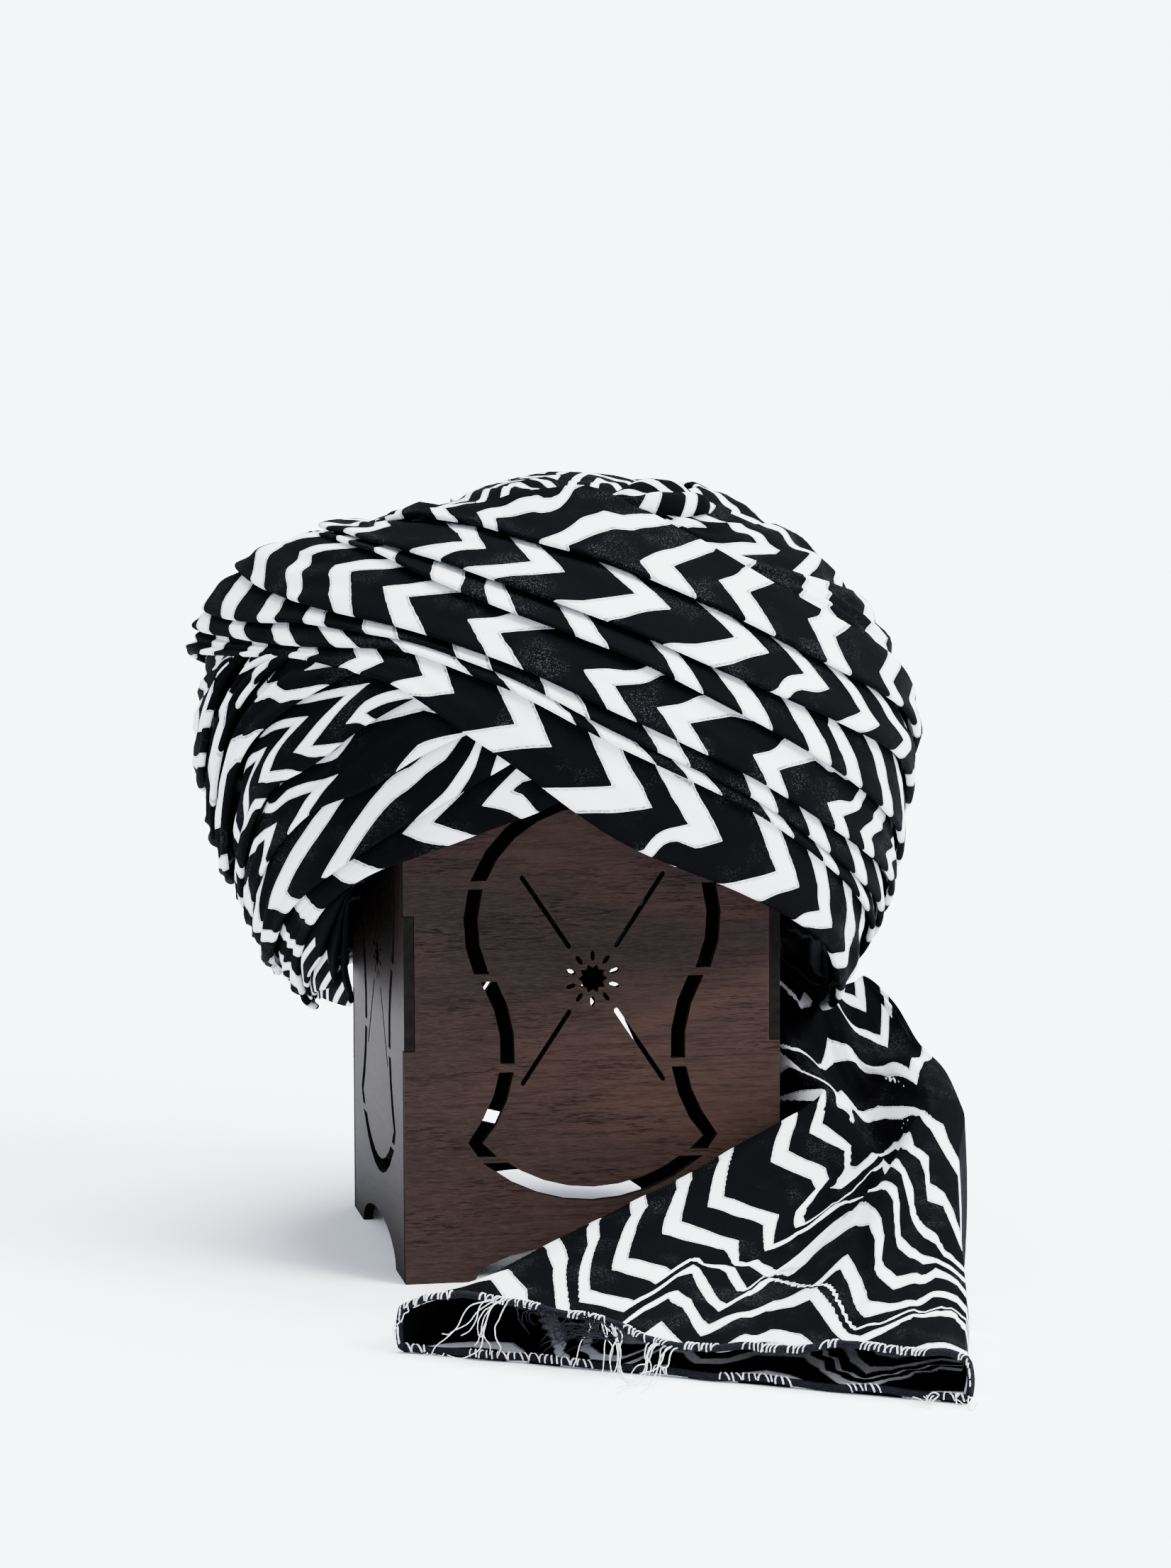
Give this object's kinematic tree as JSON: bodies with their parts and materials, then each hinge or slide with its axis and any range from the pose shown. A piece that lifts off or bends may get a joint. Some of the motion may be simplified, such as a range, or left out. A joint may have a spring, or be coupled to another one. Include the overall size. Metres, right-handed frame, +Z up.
{
  "type": "wrapped turban on a display box",
  "caption": "Wound and pleated cotton turban with a black and white zigzag print and a loose tail, set on a plain dark wooden box with pierced walls.",
  "frame": {"origin": "on the floor, under the middle of the whole object's bounding box", "axes": "+Z up; the box's front wall and the tail's hem look towards -Y; +X is the right side as seen from the front"},
  "size_m": [0.294, 0.474, 0.3109],
  "materials": {
    "printed_voile": "matt cotton voile, black ground with a white zigzag print",
    "wound_voile": "the same cotton seen in shade inside the hollow",
    "hem_thread": "white cotton overlock thread and frayed ends",
    "walnut_board": "satin dark walnut grain with charred cut edges"
  },
  "bodies": {
    "root": {"wound_core": "wound_voile", "crown_cap": "printed_voile", "over_wrap_top": "printed_voile", "over_wrap_shoulder": "printed_voile", "over_wrap_cord": "printed_voile", "over_wrap_middle": "printed_voile", "over_wrap_fine": "printed_voile", "over_wrap_brow_cord": "printed_voile", "over_wrap_brow": "printed_voile", "under_wrap_rim": "printed_voile", "under_wrap_front": "printed_voile", "under_wrap_cheek": "printed_voile", "under_wrap_temple": "printed_voile", "under_wrap_side": "printed_voile", "under_wrap_ear": "printed_voile", "under_wrap_high": "printed_voile", "back_wrap_low": "printed_voile", "back_wrap_mid": "printed_voile", "back_wrap_high": "printed_voile", "tucked_fold": "printed_voile", "tail_cloth": "printed_voile", "box_front_panel": "walnut_board", "box_back_panel": "walnut_board", "box_left_panel": "walnut_board", "box_right_panel": "walnut_board", "box_top_panel": "walnut_board"}
  },
  "joints": []
}
